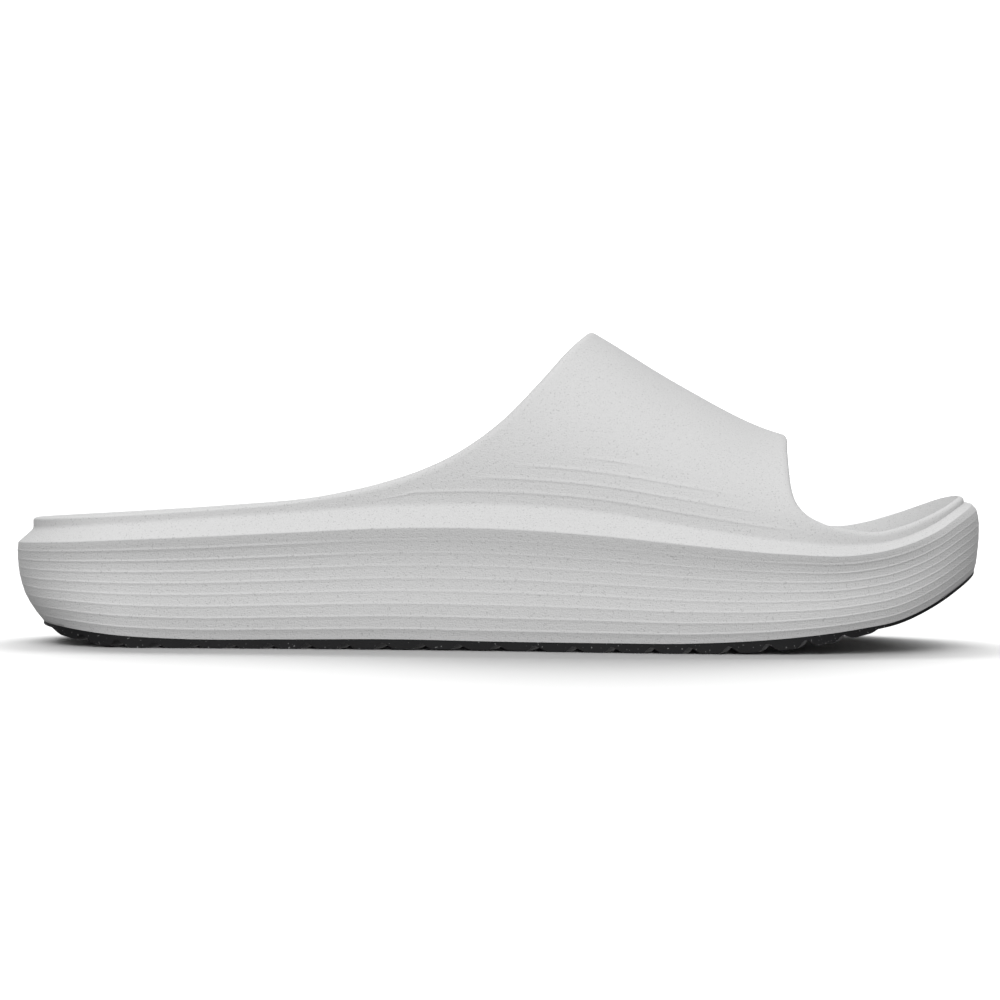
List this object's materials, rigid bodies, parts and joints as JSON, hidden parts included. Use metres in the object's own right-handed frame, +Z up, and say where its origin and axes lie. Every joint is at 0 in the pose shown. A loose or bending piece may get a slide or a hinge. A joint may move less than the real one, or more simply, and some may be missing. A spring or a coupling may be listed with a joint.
{
  "type": "slide slipper",
  "caption": "Backless slide slipper moulded in foam: thick ribbed sole with a raised rim, a broad arched band over the forefoot, open toe, and a black rubber outsole with waved lugs.",
  "frame": {"origin": "middle of the footprint's box, on the floor plane that the lug tips stand on", "axes": "+X to the toe, -Y to the outer side of the foot, +Z up"},
  "size_m": [0.2902, 0.1104, 0.0935],
  "materials": {
    "foam": "moulded foam with a fine pebble grain, matt",
    "rubber": "black rubber, matt",
    "pad": "soft foam pad with a fine grain"
  },
  "bodies": {
    "root": {"upper_and_midsole": "foam", "outsole": "rubber", "insole": "pad"}
  },
  "joints": []
}
